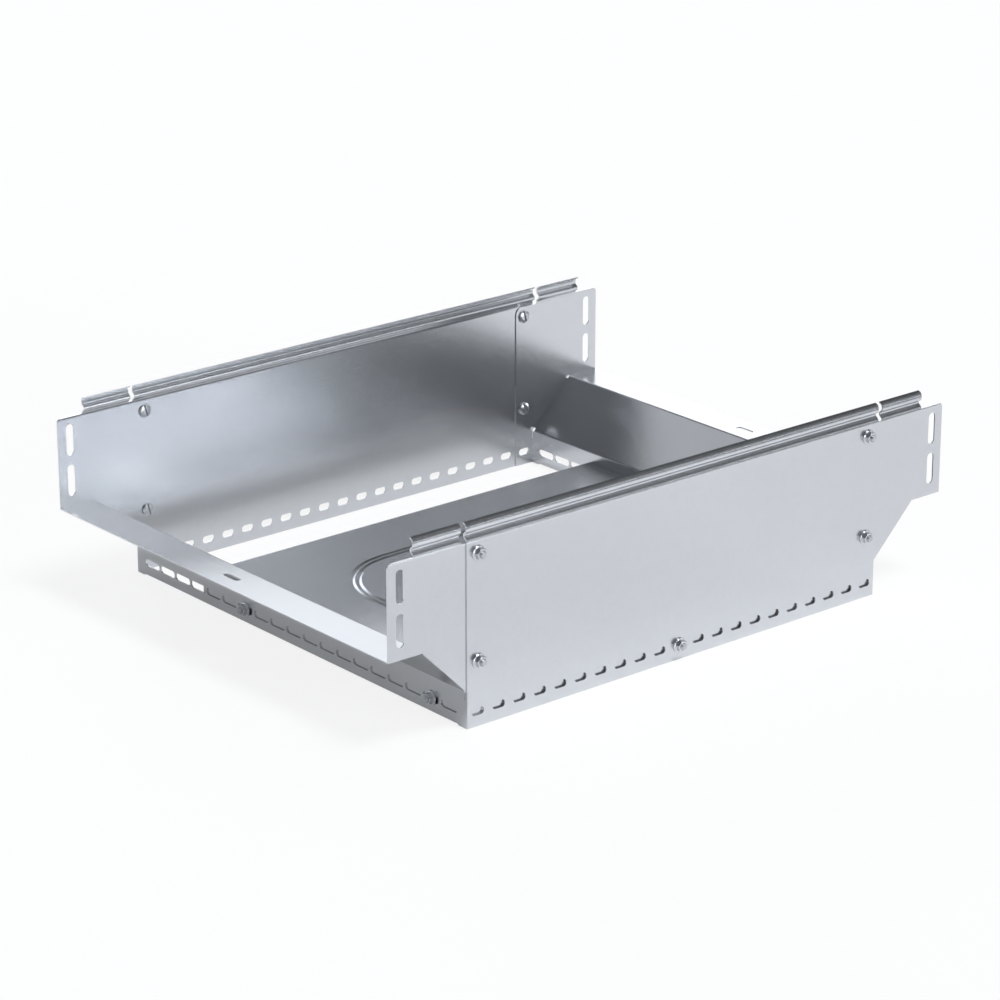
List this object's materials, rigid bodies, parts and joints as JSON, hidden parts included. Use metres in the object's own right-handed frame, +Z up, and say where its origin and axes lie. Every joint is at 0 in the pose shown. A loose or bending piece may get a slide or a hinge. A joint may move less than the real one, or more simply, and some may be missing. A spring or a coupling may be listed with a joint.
{
  "type": "cable tray tee",
  "caption": "Galvanised sheet steel cable tray tee: square body with lipped side walls, slotted coupling tabs at both ends and an outlet in its floor.",
  "frame": {"origin": "centre of the tee's plan, on the plane that the bottom edges of the side walls stand on", "axes": "+X along the cable run, +Y from the front wall towards the wall beside the outlet, +Z up"},
  "size_m": [0.672, 0.516, 0.1913],
  "materials": {
    "galvanised_sheet": "galvanised, satin",
    "galvanised_floor": "galvanised, satin",
    "zinc_fastener": "zinc plated, bright"
  },
  "bodies": {
    "root": {"tee_half_back": "galvanised_sheet", "tee_half_front": "galvanised_sheet", "floor_plate": "galvanised_floor", "bolts": "zinc_fastener", "flange_nuts": "zinc_fastener"}
  },
  "joints": []
}
